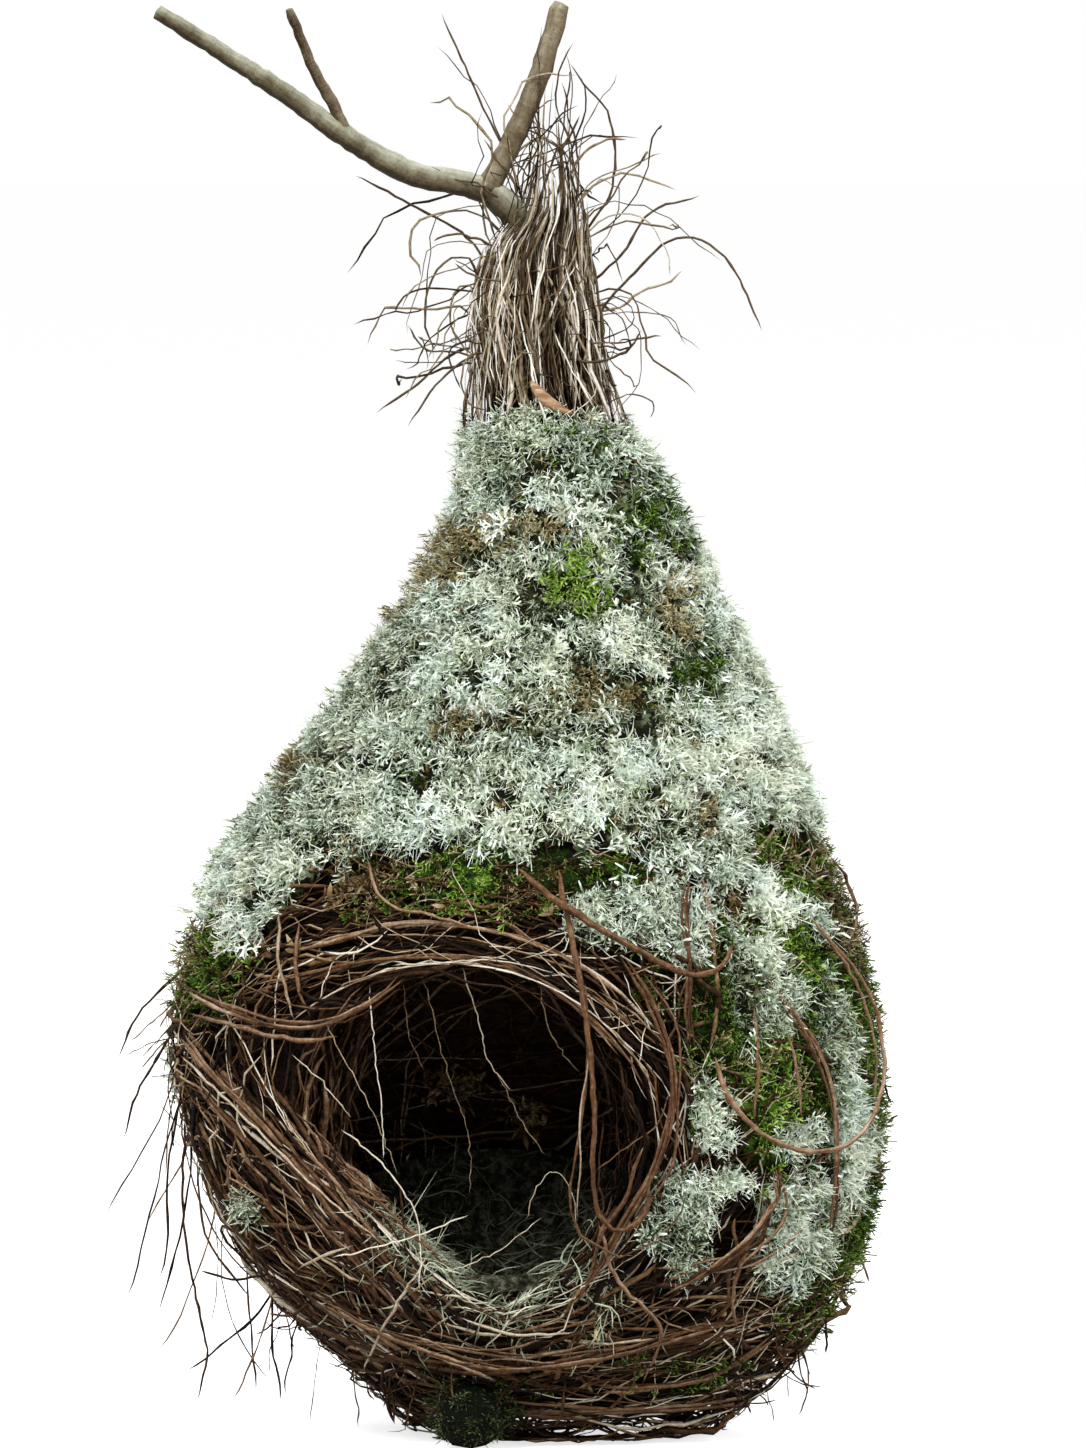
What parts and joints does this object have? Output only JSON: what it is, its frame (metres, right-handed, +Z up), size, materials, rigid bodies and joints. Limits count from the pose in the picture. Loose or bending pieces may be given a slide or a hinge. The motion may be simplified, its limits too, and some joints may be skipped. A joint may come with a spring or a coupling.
{
  "type": "empty bird nest",
  "caption": "Empty domed bird nest with a side entrance, woven of roots under lichen and moss, on the cut twig that its neck is bound to.",
  "frame": {"origin": "in the flat patch under the foot that the nest rests on, below the twig's lower end", "axes": "+Z up through the neck; -Y out of the entrance; +X to the right of someone who looks into the entrance"},
  "size_m": [0.1835, 0.1617, 0.3442],
  "materials": {
    "woven_roots": "rough, matted rootlets and dry stems",
    "root_bark": "dry reddish-brown root bark, satin where it is worn",
    "dry_fibre": "dry, pale brown fibres",
    "twig_bark": "smooth grey-green bark",
    "lichen": "matte, frilled, pale grey-green",
    "moss": "matte, feathery, green",
    "cup_lining": "matte, fine lichen threads and rootlets"
  },
  "bodies": {
    "root": {"woven_wall": "woven_roots", "cup_lining": "cup_lining", "lichen_cape": "lichen", "lichen_patch_front": "lichen", "lichen_patch_drape": "lichen", "lichen_patch_right_edge": "lichen", "lichen_patch_low_right": "lichen", "lichen_patch_rosette": "lichen", "lichen_patch_back": "lichen", "lichen_patch_back_left": "lichen", "moss_patch_left": "moss", "moss_patch_front": "moss", "moss_patch_right_top": "moss", "moss_patch_right": "moss", "moss_patch_right_low": "moss", "moss_patch_right_side": "moss", "moss_patch_back": "moss", "moss_tuft": "moss", "rim_root_top_inner": "root_bark", "rim_root_top_outer": "root_bark", "rim_root_right": "root_bark", "rim_root_hanging": "root_bark", "rim_bundle_upper": "root_bark", "rim_bundle_lower": "root_bark", "shoulder_root_left": "root_bark", "left_edge_root": "root_bark", "bottom_root": "root_bark", "front_vine": "root_bark", "standing_root_right": "root_bark", "vine_loop_right": "root_bark", "long_root_right": "root_bark", "foot_root_right": "root_bark", "low_root_right": "root_bark", "foot_hoop_low": "root_bark", "foot_hoop_back": "root_bark", "belly_hoop_back": "root_bark", "waist_hoop_back": "root_bark", "hanging_root_left_high": "root_bark", "hanging_root_left_middle": "root_bark", "hanging_root_left_low": "root_bark", "neck_fibres": "dry_fibre", "loose_root_arc_right": "dry_fibre", "loose_root_bow_right": "dry_fibre", "loose_root_fork_right": "dry_fibre", "loose_root_bow_left": "dry_fibre", "loose_root_low_left": "dry_fibre", "loose_root_far_left": "dry_fibre", "loose_root_high_left": "dry_fibre", "loose_root_tall_left": "dry_fibre", "bark_sliver": "root_bark", "twig_main": "twig_bark", "twig_arm_right": "twig_bark", "twig_sprig_left": "twig_bark"}
  },
  "joints": []
}
